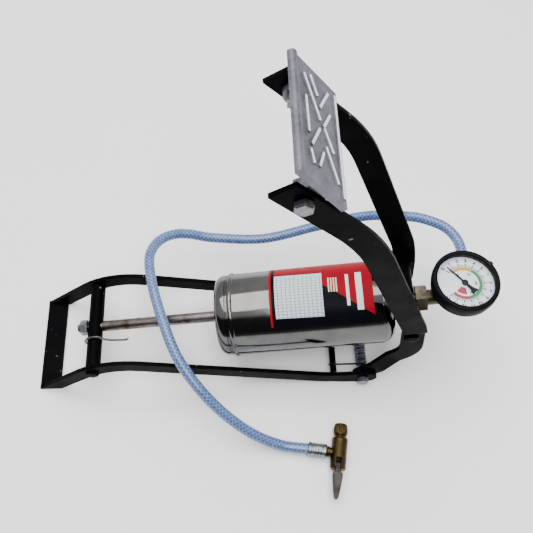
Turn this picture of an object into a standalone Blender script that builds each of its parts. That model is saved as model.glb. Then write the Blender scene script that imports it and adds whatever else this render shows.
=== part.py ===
"""Foot air pump: folded strip base, bent lever arms with a cast pedal, one tilting barrel,
a dial gauge on a brass tee and a hose with a brass thumb-lock chuck.

World frame in metres: X runs from the front foot to the gauge, Y runs from the near rail to
the far rail, Z is up. The origin is the middle of the underside of the front foot bar.
Working numbers below are millimetres and are scaled by MM when a mesh is made.
"""
import math

import bmesh
import bpy
from mathutils import Matrix, Vector, geometry

MM = 0.001
GAP = 0.3

# --- driving dimensions: base frame -------------------------------------------------------
STRIP_T = 3.0
RAIL_Y = 37.0
RAIL_W = 12.0
FOOT_HALF = 7.5
RAIL_RISE = math.radians(43.0)
RAIL_FALL = math.radians(12.35)
CREST_CORNER = (46.7, 43.5)
CREST_RADIUS = 48.0
EYE_R = 7.8
EYE_REACH = 10.8
CROSS_BAR = (216.0, 8.4)
CROSS_BAR_R = 2.5

# --- driving dimensions: the three pivots of the linkage ----------------------------------
FRONT = Vector((36.1, 0.0, 30.8))
HINGE = Vector((238.2, 0.0, 7.8))
ELBOW = Vector((265.05, 0.0, 68.1))
AXIS = (ELBOW - FRONT).normalized()
UP_AXIS = Vector((-AXIS.z, 0.0, AXIS.x))
ACROSS = Vector((0.0, 1.0, 0.0))

# --- driving dimensions: lever ------------------------------------------------------------
ARM_W = 16.5
ARM_EYE_R = 7.5
ARM_HINGE_Y = RAIL_Y - STRIP_T - GAP
ARM_ELBOW_Y = 30.2
ARM_MID_Y = 35.4
ARM_TIP_Y = 37.9
ARM_KNEE = (269.6, 42.0)
ARM_ELBOW_BEND = (263.8, 87.4)
ARM_UPPER_BEND = (214.6, 210.6)
ARM_TIP = (163.4, 263.3)
PEDAL_BOLT = Vector((174.5, 0.0, 252.8))
PEDAL_TILT = math.radians(52.4)
PEDAL_LENGTH = 75.0
PEDAL_FRONT = 25.0
PEDAL_REAR = 18.5
PEDAL_UNDER = 10.6
PEDAL_T = 3.4

# --- driving dimensions: barrel, all measured along AXIS from the front cross tube ---------
BARREL_R = 30.0
BARREL_WALL = 1.0
CAP_FACE = 94.4
BEAD_AT = 106.8
TUBE_START = 104.8
TUBE_END = 214.0
HEAD_FACE = 222.0
CROSS_R = 6.0
FRONT_TUBE_R = 5.5
ROD_R = 4.0
PISTON_AT = 118.0
NECK_R = 4.0
ELBOW_AT = (ELBOW - FRONT).length
HEX_START = ELBOW_AT + CROSS_R + GAP
HEX_T = 8.0
TEE_START = HEX_START + HEX_T + GAP
TEE_END = TEE_START + 29.0

# --- driving dimensions: gauge ------------------------------------------------------------
GAUGE_X = 302.0
GAUGE_TOP = 97.5
GAUGE_R = 23.9
CASE_FLOOR = 83.4
RISER_TOP = 81.0
DIAL_TOP = 91.8
PORT_TURN = math.radians(14.0)

# --- driving dimensions: hose and chuck ---------------------------------------------------
HOSE_R = 3.95
CHUCK = Vector((216.2, -88.6, 6.0))
CHUCK_TURN = math.radians(9.0)
CHUCK_R = 5.9
STEM_OFFSET = -5.5

PALETTE = {
    "black_paint": ((0.012, 0.015, 0.024), 0.42, 0.0),
    "zinc_steel": ((0.52, 0.54, 0.56), 0.32, 1.0),
    "rod_steel": ((0.17, 0.15, 0.13), 0.38, 1.0),
    "chrome": ((0.62, 0.62, 0.64), 0.12, 1.0),
    "cast_aluminium": ((0.50, 0.50, 0.53), 0.45, 1.0),
    "brass": ((0.42, 0.28, 0.10), 0.35, 1.0),
    "rubber": ((0.015, 0.015, 0.016), 0.75, 0.0),
    "hose_blue": ((0.10, 0.26, 0.62), 0.30, 0.0),
    "gauge_black": ((0.012, 0.012, 0.014), 0.35, 0.0),
    "dial_white": ((0.82, 0.84, 0.82), 0.55, 0.0),
    "lens_clear": ((0.86, 0.90, 0.92), 0.05, 0.0),
    "spring_steel": ((0.10, 0.10, 0.11), 0.40, 1.0),
}


def make_materials():
    """One Principled material for each finish in the palette."""
    made = {}
    for name, (colour, roughness, metallic) in PALETTE.items():
        mat = bpy.data.materials.new(name)
        mat.use_nodes = True
        shader = mat.node_tree.nodes["Principled BSDF"]
        shader.inputs["Base Color"].default_value = (*colour, 1.0)
        shader.inputs["Roughness"].default_value = roughness
        shader.inputs["Metallic"].default_value = metallic
        mat.diffuse_color = (*colour, 1.0)
        made[name] = mat
    return made


# ------------------------------------------------------------------------------------------
# objects and parents
# ------------------------------------------------------------------------------------------
def add_pivot(name, at, parent=None):
    """An empty on a joint's axis; its pieces are parented to it."""
    empty = bpy.data.objects.new(name, None)
    bpy.context.collection.objects.link(empty)
    empty.empty_display_size = 0.01
    empty["at"] = tuple(at)
    place(empty, at, parent)
    return empty


def place(obj, at, parent):
    """Put an object at a world point in millimetres under an unrotated parent."""
    base = Vector(parent["at"]) if parent else Vector((0, 0, 0))
    obj.parent = parent
    obj.location = (Vector(at) - base) * MM


def add_node(name, bm, finish, parent=None, at=None):
    """Turn a bmesh in world millimetres into a named object with its origin at `at`."""
    if at is None:
        at = Vector(parent["at"]) if parent else Vector((0, 0, 0))
    bmesh.ops.recalc_face_normals(bm, faces=bm.faces)
    mesh = bpy.data.meshes.new(name)
    bmesh.ops.translate(bm, vec=-Vector(at), verts=bm.verts)
    bmesh.ops.scale(bm, vec=(MM, MM, MM), verts=bm.verts)
    bm.to_mesh(mesh)
    bm.free()
    obj = bpy.data.objects.new(name, mesh)
    bpy.context.collection.objects.link(obj)
    mesh.materials.append(MATERIALS[finish])
    place(obj, at, parent)
    return obj


def add_wire(name, points, radius, finish, parent, resolution=1):
    """A round wire or hose along points, as a curve with a bevel and filled caps."""
    curve = bpy.data.curves.new(name, "CURVE")
    curve.dimensions = "3D"
    curve.bevel_depth = radius * MM
    curve.bevel_resolution = resolution
    curve.use_fill_caps = True
    base = Vector(parent["at"]) if parent else Vector((0, 0, 0))
    spline = curve.splines.new("POLY")
    spline.points.add(len(points) - 1)
    for point, co in zip(spline.points, points):
        point.co = (*((Vector(co) - base) * MM), 1.0)
    obj = bpy.data.objects.new(name, curve)
    bpy.context.collection.objects.link(obj)
    curve.materials.append(MATERIALS[finish])
    place(obj, base, parent)
    return obj


def boolean(obj, other, operation):
    """Join or cut with a hidden helper, by the exact solver."""
    mod = obj.modifiers.new(other.name, "BOOLEAN")
    mod.object = other
    mod.operation = operation
    mod.solver = "EXACT"
    other.hide_render = True
    other.display_type = "WIRE"
    return mod


# ------------------------------------------------------------------------------------------
# shape helpers
# ------------------------------------------------------------------------------------------
def frame_for(axis):
    """Two directions at right angles to an axis."""
    axis = Vector(axis).normalized()
    side = ACROSS if abs(axis.y) < 0.9 else Vector((1, 0, 0))
    first = side.cross(axis).normalized()
    return first, axis.cross(first).normalized()


def lathe(profile, origin, axis, steps=24):
    """Revolve a closed profile of (radius, distance) corners about an axis."""
    bm = bmesh.new()
    axis = Vector(axis).normalized()
    first, second = frame_for(axis)
    rings = []
    for radius, distance in profile:
        centre = Vector(origin) + axis * distance
        if radius < 1e-6:
            rings.append([bm.verts.new(centre)])
            continue
        ring = []
        for i in range(steps):
            a = 2 * math.pi * i / steps
            ring.append(bm.verts.new(centre + (first * math.cos(a) + second * math.sin(a)) * radius))
        rings.append(ring)
    for here, there in zip(rings, rings[1:] + rings[:1]):
        if len(here) == 1 and len(there) == 1:
            continue
        for i in range(steps):
            j = (i + 1) % steps
            corners = [here[i % len(here)], here[j % len(here)]]
            corners += [there[j % len(there)], there[i % len(there)]]
            bm.faces.new(list(dict.fromkeys(corners)))
    return bm


def cylinder(radius, start, end, steps=24):
    """A plain round bar from one point to another."""
    axis = Vector(end) - Vector(start)
    length = axis.length
    return lathe([(0, 0), (radius, 0), (radius, length), (0, length)], start, axis, steps)


def ring_2d(radius, steps, turn=0.0):
    """Corners of a regular polygon."""
    corners = []
    for i in range(steps):
        a = turn + 2 * math.pi * i / steps
        corners.append((radius * math.cos(a), radius * math.sin(a)))
    return corners


def extrude_section(loops, origin, first, second, start, end):
    """Extrude an outline with holes, given in the plane of two directions, along their normal."""
    bm = bmesh.new()
    normal = Vector(first).cross(Vector(second)).normalized()
    flat = [[Vector((p[0], p[1], 0)) for p in loop] for loop in loops]
    triangles = geometry.tessellate_polygon(flat)
    levels = []
    for level in (start, end):
        verts = []
        for loop in loops:
            for u, v in loop:
                co = Vector(origin) + Vector(first) * u + Vector(second) * v + normal * level
                verts.append(bm.verts.new(co))
        for triangle in triangles:
            bm.faces.new([verts[i] for i in triangle])
        levels.append(verts)
    base = 0
    for loop in loops:
        count = len(loop)
        for i in range(count):
            j = (i + 1) % count
            bm.faces.new([levels[0][base + i], levels[0][base + j],
                          levels[1][base + j], levels[1][base + i]])
        base += count
    return bm


def fillet_path(points, arc_steps=6):
    """A polyline whose corners (x, z, radius) become arcs."""
    path = []
    for i, (x, z, radius) in enumerate(points):
        here = Vector((x, z))
        if radius <= 0 or i in (0, len(points) - 1):
            path.append(here)
            continue
        back = (Vector(points[i - 1][:2]) - here).normalized()
        ahead = (Vector(points[i + 1][:2]) - here).normalized()
        half = back.angle(ahead) / 2
        middle = here + (back + ahead).normalized() * (radius / math.sin(half))
        start = here + back * (radius / math.tan(half)) - middle
        sweep = start.angle_signed(here + ahead * (radius / math.tan(half)) - middle)
        for k in range(arc_steps + 1):
            path.append(middle + Matrix.Rotation(-sweep * k / arc_steps, 2) @ start)
    return path


def side_normals(path):
    """Unit normals to the left of a flat path."""
    normals = []
    for i in range(len(path)):
        ahead = path[min(i + 1, len(path) - 1)] - path[i]
        behind = path[i] - path[max(i - 1, 0)]
        run = (ahead.normalized() if ahead.length else Vector((0, 0)))
        run += behind.normalized() if behind.length else Vector((0, 0))
        run.normalize()
        normals.append(Vector((-run.y, run.x)))
    return normals


def smooth_curve(points, per_span):
    """Catmull-Rom points through a hand-chosen route."""
    route = [Vector(p) for p in points]
    route = [route[0] * 2 - route[1]] + route + [route[-1] * 2 - route[-2]]
    out = []
    for a, b, c, d in zip(route, route[1:], route[2:], route[3:]):
        for k in range(per_span):
            t = k / per_span
            out.append(0.5 * (2 * b + (c - a) * t + (2 * a - 5 * b + 4 * c - d) * t ** 2
                              + (3 * b - a - 3 * c + d) * t ** 3))
    out.append(route[-2])
    return out


def hex_bolt(name, at, out, flats, head, shank_r, shank, finish, parent):
    """A hexagon head outside `at`, with its shank running inward from it."""
    corner = flats / math.sqrt(3)
    bm = lathe([(0, 0), (corner, 0), (corner, head * 0.8), (corner * 0.86, head), (0, head)],
               at, out, 6)
    obj = add_node(name, bm, finish, parent)
    shaft = add_node(name + "_shank_tool", cylinder(shank_r, Vector(at) + Vector(out) * 0.5,
                     Vector(at) - Vector(out) * shank, 14), finish, parent)
    boolean(obj, shaft, "UNION")
    return obj


def hex_nut(name, at, out, flats, thick, bore_r, finish, parent, steps=16):
    """A hexagon nut whose inner face is at `at` and which is `thick` along `out`."""
    first, second = frame_for(out)
    loops = [ring_2d(flats / math.sqrt(3), 6), ring_2d(bore_r, steps)]
    normal = first.cross(second)
    sign = 1.0 if normal.dot(Vector(out)) > 0 else -1.0
    bm = extrude_section(loops, at, first, second, 0.0, sign * thick)
    return add_node(name, bm, finish, parent)


def along(distance, lift=0.0):
    """A point on the barrel's axis, with an optional lift at right angles to it."""
    return FRONT + AXIS * distance + UP_AXIS * lift


# ------------------------------------------------------------------------------------------
# base
# ------------------------------------------------------------------------------------------
def rail_outline():
    """Side view of one rail: up from the foot, over the crest and down to the hinge eye."""
    floor_start = CREST_CORNER[0] + (CREST_CORNER[1] - EYE_R) / math.tan(RAIL_FALL)
    path = fillet_path([(0.0, 0.0, 0), (*CREST_CORNER, CREST_RADIUS),
                        (floor_start, EYE_R, 60.0), (HINGE.x, EYE_R, 0)], 8)
    normals = side_normals(path)
    half = RAIL_W / 2
    upper = [p + n * half for p, n in zip(path, normals)][1:-1]
    lower = [p - n * half for p, n in zip(path, normals)][1:-1]
    slant = half / math.sin(RAIL_RISE)
    outline = [(slant - 1.0, 0.0)] + [tuple(p) for p in lower]
    outline.append((HINGE.x - 16.0, 0.6))
    for i in range(13):
        a = math.radians(-90 + 15 * i)
        outline.append((HINGE.x + EYE_REACH * math.cos(a), EYE_R + EYE_R * math.sin(a)))
    outline.append((HINGE.x - 14.0, EYE_R + half))
    outline += [tuple(p) for p in reversed(upper)]
    outline.append((-slant + 0.4, 0.0))
    return outline


def cutter(name, radius, at, half_length, direction=ACROSS, parent=None, steps=16):
    """A hidden round tool for a hole."""
    reach = Vector(direction) * half_length
    return add_node(name, cylinder(radius, Vector(at) - reach, Vector(at) + reach, steps),
                    "zinc_steel", parent)


def build_base():
    """Everything that stays on the ground."""
    outline = rail_outline()
    flat_x, flat_z = Vector((1, 0, 0)), Vector((0, 0, 1))
    frame = add_node("base_frame", extrude_section([outline], (0, 0, 0), flat_x, flat_z,
                     RAIL_Y - STRIP_T, RAIL_Y), "black_paint")
    far = add_node("rail_tool", extrude_section([outline], (0, 0, 0), flat_x, flat_z,
                   -RAIL_Y, -RAIL_Y + STRIP_T), "black_paint")
    bar_bm = bmesh.new()
    bmesh.ops.create_cube(bar_bm, size=1.0)
    bmesh.ops.scale(bar_bm, vec=(2 * FOOT_HALF, 2 * RAIL_Y - 1.0, STRIP_T), verts=bar_bm.verts)
    bmesh.ops.translate(bar_bm, vec=(0, 0, STRIP_T / 2), verts=bar_bm.verts)
    bar = add_node("foot_tool", bar_bm, "black_paint")
    boolean(frame, far, "UNION")
    boolean(frame, bar, "UNION")
    reach = RAIL_Y + 5.0
    boolean(frame, cutter("hinge_hole_tool", 2.5 + GAP, HINGE, reach), "DIFFERENCE")
    boolean(frame, cutter("front_hole_tool", 3.0 + GAP, FRONT, reach), "DIFFERENCE")
    bar_at = Vector((CROSS_BAR[0], 0, CROSS_BAR[1]))
    boolean(frame, cutter("bar_hole_tool", 1.8 + GAP, bar_at, reach), "DIFFERENCE")

    shoulder = RAIL_Y - STRIP_T - GAP
    profile = [(0, -RAIL_Y), (1.8, -RAIL_Y), (1.8, -shoulder), (CROSS_BAR_R, -shoulder),
               (CROSS_BAR_R, shoulder), (1.8, shoulder), (1.8, RAIL_Y), (0, RAIL_Y)]
    add_node("base_cross_bar", lathe(profile, bar_at, ACROSS, 20), "black_paint")

    head_y = RAIL_Y + GAP
    hex_bolt("hinge_bolt", HINGE - ACROSS * head_y, -ACROSS, 8.0, 3.6, 2.5, 2 * head_y + 5.5,
             "zinc_steel", None)
    hex_nut("hinge_nut", HINGE + ACROSS * head_y, ACROSS, 8.0, 4.2, 2.5 + GAP, "zinc_steel", None)
    for side, sign in (("near", -1), ("far", 1)):
        out = ACROSS * sign
        start = RAIL_Y - STRIP_T + GAP
        rim = RAIL_Y + GAP
        profile = [(0, start), (3.0, start), (3.0, rim), (4.9, rim), (4.9, rim + 0.9),
                   (3.9, rim + 1.8), (0, rim + 2.1)]
        add_node("front_pivot_rivet_" + side, lathe(profile, FRONT, out, 16), "black_paint")
    build_torsion_spring()


def build_torsion_spring():
    """Return spring round the hinge bolt, one leg over the cross bar, one leg up the lever."""
    mean_r, pitch, first_y, turns = 3.9, 2.4, -27.0, 14
    per_turn = 8
    points = [(CROSS_BAR[0] - 4.0, first_y, CROSS_BAR[1] + CROSS_BAR_R + 1.3),
              (HINGE.x - 5.0, first_y, HINGE.z + mean_r + 0.5)]
    for i in range(turns * per_turn + 1):
        a = math.radians(90) - 2 * math.pi * i / per_turn
        points.append((HINGE.x + mean_r * math.cos(a), first_y + pitch * i / per_turn,
                       HINGE.z + mean_r * math.sin(a)))
    last_y = first_y + pitch * turns
    points.append((HINGE.x + 14.0, last_y, HINGE.z + mean_r + 5.0))
    add_wire("torsion_spring", points, 0.75, "spring_steel", None, 0)


# ------------------------------------------------------------------------------------------
# lever
# ------------------------------------------------------------------------------------------
def arm_path():
    """Centre line of an arm from the hinge eye to its free tip."""
    return fillet_path([(HINGE.x, HINGE.z, 0), (*ARM_KNEE, 22.0), (*ARM_ELBOW_BEND, 60.0),
                        (*ARM_UPPER_BEND, 110.0), (*ARM_TIP, 0)], 6)


def arm_offset(length):
    """Outer face of an arm, in Y, at a length along it from the hinge."""
    keys = [(0, ARM_HINGE_Y), (14, ARM_HINGE_Y), (30, ARM_ELBOW_Y), (77, ARM_ELBOW_Y),
            (90, ARM_MID_Y), (215, ARM_TIP_Y), (400, ARM_TIP_Y)]
    for (a, ya), (b, yb) in zip(keys, keys[1:]):
        if length <= b:
            t = (length - a) / (b - a)
            return ya + (yb - ya) * t
    return keys[-1][1]


def arm_stations():
    """Centre point, run and half width along the arm, with a station at each bend line."""
    path = arm_path()
    lengths = [0.0]
    for a, b in zip(path, path[1:]):
        lengths.append(lengths[-1] + (b - a).length)
    wanted = sorted(set(lengths) | {14.0, 30.0, 77.0, 90.0, 215.0})
    run_in = (path[1] - path[0]).normalized()
    stations = []
    for k in range(5):
        a = math.radians(75 - 15 * k)
        stations.append((path[0] - run_in * ARM_EYE_R * math.sin(a), run_in,
                         ARM_EYE_R * math.cos(a), 0.0))
    for want in wanted:
        i = max(k for k in range(len(lengths) - 1) if lengths[k] <= want + 1e-6)
        t = min(1.0, (want - lengths[i]) / (lengths[i + 1] - lengths[i]))
        point = path[i].lerp(path[i + 1], t)
        before = (path[i] - path[i - 1]).normalized() if i and t < 1e-6 else Vector((0, 0))
        run = ((path[i + 1] - path[i]).normalized() + before).normalized()
        grow = min(1.0, want / 14.0)
        half = ARM_EYE_R + (ARM_W / 2 - ARM_EYE_R) * grow
        if want < 14.0 and want > 0:
            continue
        stations.append((point, run, half, want))
    return stations


def build_arm(name, sign, parent):
    """One flat strip bent in side view and joggled sideways at the elbow."""
    bm = bmesh.new()
    stations = arm_stations()
    sections = []
    for i, (point, run, half, length) in enumerate(stations):
        left = Vector((-run.y, run.x))
        cut = math.tan(math.radians(8.0)) * half if i == len(stations) - 1 else 0.0
        outer = arm_offset(length)
        corners = []
        for edge, y in ((1, outer), (-1, outer), (-1, outer - STRIP_T), (1, outer - STRIP_T)):
            flat = point + left * half * edge + run * cut * edge
            corners.append(bm.verts.new((flat.x, sign * y, flat.y)))
        sections.append(corners)
    for here, there in zip(sections, sections[1:]):
        for i in range(4):
            j = (i + 1) % 4
            bm.faces.new([here[i], here[j], there[j], there[i]])
    bm.faces.new(sections[0])
    bm.faces.new(sections[-1])
    arm = add_node(name, bm, "black_paint", parent)
    for tool, radius, at in (("hinge", 2.5, HINGE), ("pivot", 3.0, ELBOW), ("pedal", 3.0, PEDAL_BOLT)):
        boolean(arm, cutter(name + "_" + tool + "_tool", radius + GAP, at + ACROSS * sign * 34.0,
                            9.0, parent=parent), "DIFFERENCE")
    return arm


def pedal_point(s, rise, y=0.0):
    """A point on the pedal: s down the tread, rise out of it, y across."""
    run = Vector((math.cos(PEDAL_TILT), 0, -math.sin(PEDAL_TILT)))
    out = Vector((math.sin(PEDAL_TILT), 0, math.cos(PEDAL_TILT)))
    return PEDAL_BOLT + run * s + out * rise + ACROSS * y


def build_pedal(parent):
    """Cast tread with a raised front rim, lattice ribs and two bolt ears under it."""
    run = pedal_point(1, 0) - pedal_point(0, 0)
    out = pedal_point(0, 1) - pedal_point(0, 0)
    top = PEDAL_UNDER + PEDAL_T
    rim = [(-PEDAL_FRONT, PEDAL_UNDER + 0.8), (-PEDAL_FRONT + 1.2, PEDAL_UNDER)]
    rim += [(PEDAL_REAR, PEDAL_UNDER), (PEDAL_REAR, top), (-PEDAL_FRONT + 5.0, top)]
    rim += [(-PEDAL_FRONT + 4.0, top + 1.1), (-PEDAL_FRONT + 2.2, top + 1.4),
            (-PEDAL_FRONT + 0.6, top + 0.8), (-PEDAL_FRONT, top - 0.6)]
    half = PEDAL_LENGTH / 2
    plate = add_node("pedal", extrude_section([rim], PEDAL_BOLT, run, out, -half, half),
                     "cast_aluminium", parent)
    ear = [(-7.2, PEDAL_UNDER + 1.0), (7.2, PEDAL_UNDER + 1.0)]
    for i in range(9):
        a = math.radians(-22.5 * i)
        ear.append((7.2 * math.cos(a), 7.2 * math.sin(a)))
    for side, sign in (("near", -1), ("far", 1)):
        inner = ARM_TIP_Y - STRIP_T - GAP
        ends = sorted((sign * inner, sign * (inner - 4.0)))
        tool = add_node("pedal_ear_tool_" + side, extrude_section(
            [ear], PEDAL_BOLT, run, out, -ends[0], -ends[1]), "cast_aluminium", parent)
        boolean(plate, tool, "UNION")
    boolean(plate, cutter("pedal_hole_tool", 3.0 + GAP, PEDAL_BOLT, 45.0, parent=parent),
            "DIFFERENCE")
    for k, (s0, s1, y0, y1) in enumerate(pedal_ribs()):
        rib = bmesh.new()
        a, b = pedal_point(s0, top - 0.4, y0), pedal_point(s1, top - 0.4, y1)
        side = (b - a).normalized().cross(out).normalized() * 1.0
        low = [rib.verts.new(p) for p in (a - side, a + side, b + side, b - side)]
        lift = out * 1.2
        high = [rib.verts.new(v.co + lift) for v in low]
        rib.faces.new(low)
        rib.faces.new(high)
        for i in range(4):
            j = (i + 1) % 4
            rib.faces.new([low[i], low[j], high[j], high[i]])
        boolean(plate, add_node("pedal_rib_tool_%d" % k, rib, "cast_aluminium", parent), "UNION")
    return plate


def pedal_ribs():
    """Raised bars of the tread as (s0, s1, y0, y1): slanted pairs, two edge bars, a rear bar."""
    return [(15.5, 15.5, 33.5, -33.5),
            (-15.0, -2.0, 28.5, 5.2), (-8.8, -3.0, 31.3, 20.5),
            (1.2, 8.6, 2.5, -9.5), (1.4, 11.0, -9.0, -27.0),
            (-14.6, -14.0, 13.9, -9.0), (-13.8, -11.2, -18.5, -26.5),
            (8.2, -1.6, 30.0, 14.0), (8.4, 0.4, 15.5, 2.6),
            (-3.4, -12.4, -0.5, -15.5), (-1.6, -6.6, -14.5, -25.5)]


def build_lever(parent):
    """Two arms, the pedal and its bolts."""
    for side, sign in (("near", -1), ("far", 1)):
        build_arm("lever_arm_" + side, sign, parent)
        out = ACROSS * sign
        head_y = ARM_TIP_Y + GAP
        inner = ARM_TIP_Y - STRIP_T - GAP - 4.0 - GAP
        hex_bolt("pedal_bolt_" + side, PEDAL_BOLT + out * head_y, out, 10.0, 4.0, 3.0,
                 head_y - inner + 6.5, "zinc_steel", parent)
        hex_nut("pedal_nut_" + side, PEDAL_BOLT + out * inner, -out, 10.0, 5.0, 3.0 + GAP,
                "zinc_steel", parent)
    build_pedal(parent)


# ------------------------------------------------------------------------------------------
# barrel
# ------------------------------------------------------------------------------------------
def build_cylinder(parent):
    """Tube, front cap with its bush, rear head, and the pipe through the rear cross tube."""
    inner = BARREL_R - BARREL_WALL
    plug = inner - GAP
    tube = [(inner, TUBE_START), (BARREL_R, TUBE_START), (BARREL_R + 0.9, BEAD_AT - 1.0),
            (BARREL_R + 0.9, BEAD_AT + 0.6), (BARREL_R, BEAD_AT + 1.6), (BARREL_R, TUBE_END),
            (inner, TUBE_END)]
    add_node("barrel_tube", lathe(tube, FRONT, AXIS, 48), "chrome", parent)
    cap = [(7.8, CAP_FACE), (24.0, CAP_FACE), (27.2, CAP_FACE + 1.2), (29.0, CAP_FACE + 3.2),
           (29.6, CAP_FACE + 5.6), (29.6, TUBE_START - GAP), (plug, TUBE_START - GAP),
           (plug, 112.0), (plug - 1.5, 112.0), (plug - 1.5, CAP_FACE + 4.5),
           (24.0, CAP_FACE + 2.2), (7.8, CAP_FACE + 2.2)]
    add_node("barrel_cap", lathe(cap, FRONT, AXIS, 36), "chrome", parent)
    bush_r = ROD_R + GAP
    bush = [(bush_r, CAP_FACE - 2.0), (9.6, CAP_FACE - 2.0), (9.6, CAP_FACE - GAP),
            (7.5, CAP_FACE - GAP), (7.5, CAP_FACE + 5.0), (bush_r, CAP_FACE + 5.0)]
    add_node("rod_bush", lathe(bush, FRONT, AXIS, 20), "rubber", parent)

    pipe_r = NECK_R + GAP
    seat = 212.0
    head = [(pipe_r, HEAD_FACE + 3.4), (9.0, HEAD_FACE + 3.4), (9.0, HEAD_FACE),
            (22.0, HEAD_FACE), (25.0, HEAD_FACE - 1.2), (28.0, HEAD_FACE - 4.2),
            (29.4, TUBE_END + 2.0), (29.4, TUBE_END + GAP), (plug, TUBE_END + GAP),
            (plug, 203.0), (8.0, 203.0), (8.0, seat), (pipe_r, seat)]
    add_node("cylinder_head", lathe(head, FRONT, AXIS, 36), "chrome", parent)
    plate = [(1.6, 203.4), (7.6, 203.4), (7.6, 205.0), (1.6, 205.0)]
    add_node("valve_seat", lathe(plate, FRONT, AXIS, 24), "brass", parent)
    disc = [(0, 205.4), (4.6, 205.4), (4.6, 206.6), (0, 206.6)]
    add_node("valve_disc", lathe(disc, FRONT, AXIS, 16), "rubber", parent)
    coil = []
    for i in range(3 * 7 + 1):
        a = 2 * math.pi * i / 7
        lift = UP_AXIS * math.cos(a) * 3.1 + ACROSS * math.sin(a) * 3.1
        coil.append(along(207.4 + 4.0 * i / 21) + lift)
    add_wire("valve_spring", coil, 0.35, "spring_steel", parent, 0)
    bore = 1.7
    neck_end = TEE_START + 10.0
    neck = [(bore, seat + GAP), (NECK_R, seat + GAP), (NECK_R, neck_end), (bore, neck_end)]
    add_node("outlet_pipe", lathe(neck, FRONT, AXIS, 24), "brass", parent)

    half = ARM_ELBOW_Y - STRIP_T - GAP
    ring = [(3.0 + GAP, -half), (CROSS_R, -half), (CROSS_R, half), (3.0 + GAP, half)]
    cross = add_node("rear_cross_tube", lathe(ring, ELBOW, ACROSS, 28), "black_paint", parent)
    boolean(cross, cutter("pipe_hole_tool", pipe_r, ELBOW, 12.0, AXIS, parent), "DIFFERENCE")
    for side, sign in (("near", -1), ("far", 1)):
        rim = ARM_ELBOW_Y + GAP
        profile = [(0, 20.0), (3.0, 20.0), (3.0, rim), (5.4, rim), (5.4, rim + 0.9),
                   (4.2, rim + 1.9), (0, rim + 2.3)]
        add_node("rear_pivot_rivet_" + side, lathe(profile, ELBOW, ACROSS * sign, 16),
                 "black_paint", parent)


def build_outlet(parent):
    """Brass hexagon and tee behind the cross tube, with the gauge riser and the hose port."""
    first, second = frame_for(AXIS)
    loops = [ring_2d(17.6 / math.sqrt(3), 6, turn=math.radians(30)), ring_2d(NECK_R + GAP, 20)]
    add_node("outlet_nut", extrude_section(loops, along(HEX_START), first, second, 0, HEX_T),
             "brass", parent)
    hub = Vector((GAUGE_X, 0, along((GAUGE_X - FRONT.x) / AXIS.x).z))
    port = port_direction()
    tee = add_node("brass_tee", cylinder(5.7, along(TEE_START), along(TEE_END)), "brass", parent)
    riser = add_node("riser_tool", cylinder(5.8, hub, Vector((GAUGE_X, 0, RISER_TOP))), "brass", parent)
    side = add_node("side_port_tool", cylinder(6.0, hub, hub + port * 12.0), "brass", parent)
    boolean(tee, riser, "UNION")
    boolean(tee, side, "UNION")
    cuts = [("tee_bore_tool", NECK_R + GAP, along(TEE_START - 2), along(TEE_START + 12)),
            ("tee_thin_tool", 2.0, along(TEE_START + 8), hub),
            ("riser_bore_tool", 3.6, hub, Vector((GAUGE_X, 0, RISER_TOP + 2))),
            ("port_bore_tool", 3.3, hub + port * 3.0, hub + port * 14.0)]
    for name, radius, start, end in cuts:
        boolean(tee, add_node(name, cylinder(radius, start, end, 20), "brass", parent), "DIFFERENCE")
    barb = [(0, 5.0), (3.0, 5.0), (3.0, 12.3), (6.4, 12.3), (6.4, 17.0), (0, 17.0)]
    add_node("hose_union", lathe(barb, hub, port, 12), "brass", parent)
    collar = [(0, 17.3), (5.1, 17.3), (5.4, 18.2), (5.4, 27.0), (5.0, 28.0), (0, 28.0)]
    add_node("hose_collar", lathe(collar, hub, port, 24), "zinc_steel", parent)


def port_direction():
    """The hose leaves the tee level, turned from +Y toward +X."""
    return Vector((math.sin(PORT_TURN), math.cos(PORT_TURN), 0))


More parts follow.
